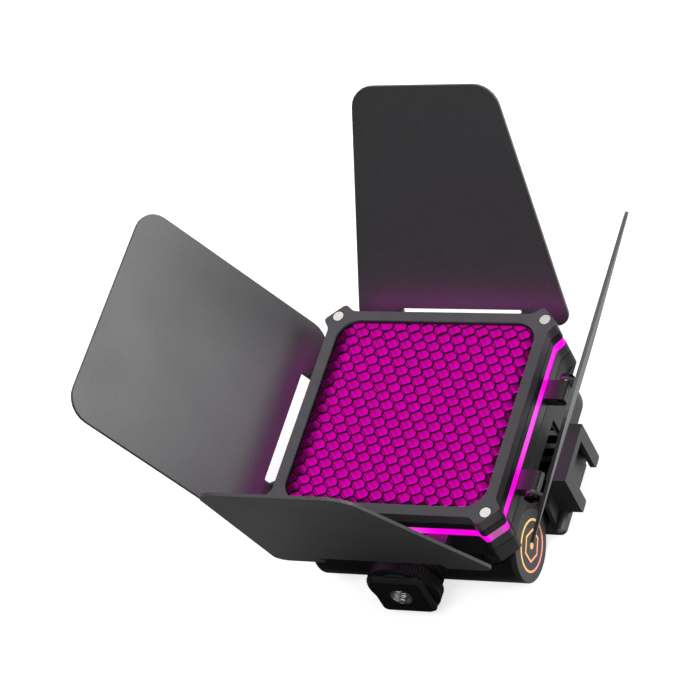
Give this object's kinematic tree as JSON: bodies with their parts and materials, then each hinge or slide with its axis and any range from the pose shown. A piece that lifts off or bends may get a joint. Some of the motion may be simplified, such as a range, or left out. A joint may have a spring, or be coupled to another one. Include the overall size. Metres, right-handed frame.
{
  "type": "pocket light with barn doors",
  "caption": "Pocket LED light with a magnetic barn door frame of hinged leaves, a lift-off honeycomb grid, a screw-in shoe foot and a side shoe",
  "frame": {"origin": "on the beam axis, on the lamp face that the barn door frame sits on", "axes": "+Z along the beam; +X the light's right side seen from the front; -Y the side with the battery tube and the shoe foot"},
  "size_m": [0.1618, 0.1544, 0.1019],
  "materials": {
    "powder_coat_frame": "satin black powder coat over aluminium",
    "powder_coat_leaf": "fine matt black powder coat over sheet aluminium",
    "grid_face": "fine moulded matt texture",
    "honeycomb": "matt black film",
    "nickel_magnet": "nickel plating",
    "diffuser": "translucent milky acrylic lit from behind",
    "black_screw": "black oxide",
    "steel": "bright machined steel",
    "housing": "fine moulded matt texture",
    "tube": "satin black anodised",
    "gold": "hot foil, gold turning to rose",
    "white_plastic": "matt white",
    "board_white": "white solder mask on an aluminium board",
    "phosphor": "LED phosphor",
    "board_green": "solder mask",
    "bare_aluminium": "as extruded",
    "display": "dark gloss",
    "button_grey": "fine matt",
    "button_red": "fine matt",
    "cell_wrap": "shrink wrap",
    "brass": "turned",
    "rubber": "matt",
    "dark_alloy": "bead-blasted and anodised black"
  },
  "bodies": {
    "lamp": {"front_housing": "housing", "lamp_magnets": "nickel_magnet", "lamp_window": "diffuser", "reflector_frame": "white_plastic", "led_board": "board_white", "led_chips": "phosphor", "heat_sink": "bare_aluminium", "fan_frame": "button_grey", "control_board": "board_green", "dial_encoder": "steel", "tact_switches": "button_grey", "rear_housing": "housing", "rear_cover": "housing", "cover_screws": "black_screw", "display_window": "display", "usb_socket": "steel", "tube_housing": "tube", "right_tube_cap": "housing", "left_tube_cap": "housing", "cap_emblem": "gold", "battery_cell": "cell_wrap", "mount_bush": "brass", "side_shoe": "dark_alloy", "shoe_screws": "steel", "shoe_pin": "steel"},
    "door_frame": {"retaining_ring": "housing", "ring_magnets": "nickel_magnet", "diffuser_plate": "diffuser", "barn_door_frame": "powder_coat_frame", "frame_magnets": "nickel_magnet", "ring_screws": "black_screw", "hinge_screws": "black_screw", "hinge_washers": "steel"},
    "grid": {"grid_frame": "grid_face", "honeycomb_core": "honeycomb", "grid_magnets": "nickel_magnet"},
    "top_leaf": {"top_leaf": "powder_coat_leaf"},
    "right_leaf": {"right_leaf": "powder_coat_leaf"},
    "bottom_leaf": {"bottom_leaf": "powder_coat_leaf"},
    "left_leaf": {"left_leaf": "powder_coat_leaf"},
    "fan_rotor": {"fan_rotor": "button_grey"},
    "control_dial": {"control_dial": "dark_alloy"},
    "mode_button": {"mode_button": "button_grey"},
    "power_button": {"power_button": "button_red"},
    "adapter_pad": {"adapter_pad": "rubber"},
    "foot": {"foot_post": "steel", "foot_plate": "dark_alloy", "thread_insert": "steel"},
    "wheel_washer": {"wheel_washer": "rubber"},
    "lock_wheel": {"lock_wheel": "dark_alloy"}
  },
  "joints": [
    {"name": "door_frame_lift", "type": "slide", "parent": "lamp", "child": "door_frame", "axis": [0, 0, 1], "range_m": [0, 0.02]},
    {"name": "grid_lift", "type": "slide", "parent": "door_frame", "child": "grid", "axis": [0, 0, 1], "range_m": [0, 0.03]},
    {"name": "top_leaf_hinge", "type": "hinge", "parent": "door_frame", "child": "top_leaf", "pos_m": [0, 0.0421, 0.00217], "axis": [-1, 0, 0], "range_deg": [-53.5, 61.5]},
    {"name": "right_leaf_hinge", "type": "hinge", "parent": "door_frame", "child": "right_leaf", "pos_m": [0.0421, 0, 0.00217], "axis": [0, 1, 0], "range_deg": [-41.4, 63.6]},
    {"name": "bottom_leaf_hinge", "type": "hinge", "parent": "door_frame", "child": "bottom_leaf", "pos_m": [0, -0.0421, 0.00217], "axis": [1, 0, 0], "range_deg": [-44.2, 70.8]},
    {"name": "left_leaf_hinge", "type": "hinge", "parent": "door_frame", "child": "left_leaf", "pos_m": [-0.0421, 0, 0.00217], "axis": [0, -1, 0], "range_deg": [-44.1, 60.9]},
    {"name": "fan_spin", "type": "hinge", "parent": "lamp", "child": "fan_rotor", "pos_m": [0, 0.008, -0.0154], "axis": [0, 0, 1], "continuous": true},
    {"name": "dial_turn", "type": "hinge", "parent": "lamp", "child": "control_dial", "pos_m": [0.004, 0.028, -0.025], "axis": [0, 0, -1], "continuous": true},
    {"name": "mode_press", "type": "slide", "parent": "lamp", "child": "mode_button", "axis": [0, 0, 1], "range_m": [0, 0.0005]},
    {"name": "power_press", "type": "slide", "parent": "lamp", "child": "power_button", "axis": [0, 0, 1], "range_m": [0, 0.0005]},
    {"name": "adapter_feed", "type": "slide", "parent": "lamp", "child": "adapter_pad", "axis": [0, -1, 0], "range_m": [0, 0.0053]},
    {"name": "adapter_unscrew", "type": "hinge", "parent": "adapter_pad", "child": "foot", "pos_m": [0, -0.0384, -0.016], "axis": [0, -1, 0], "range_deg": [0, 1500]},
    {"name": "wheel_feed", "type": "slide", "parent": "foot", "child": "wheel_washer", "axis": [0, 1, 0], "range_m": [0, 0.002]},
    {"name": "wheel_spin", "type": "hinge", "parent": "wheel_washer", "child": "lock_wheel", "pos_m": [0, -0.0431, -0.016], "axis": [0, 1, 0], "range_deg": [0, 720]}
  ],
  "couplings": [
    {"joint": "adapter_feed", "follows": "adapter_unscrew", "m_per_rad": 0.00020213},
    {"joint": "wheel_feed", "follows": "wheel_spin", "m_per_rad": 0.00015915}
  ]
}
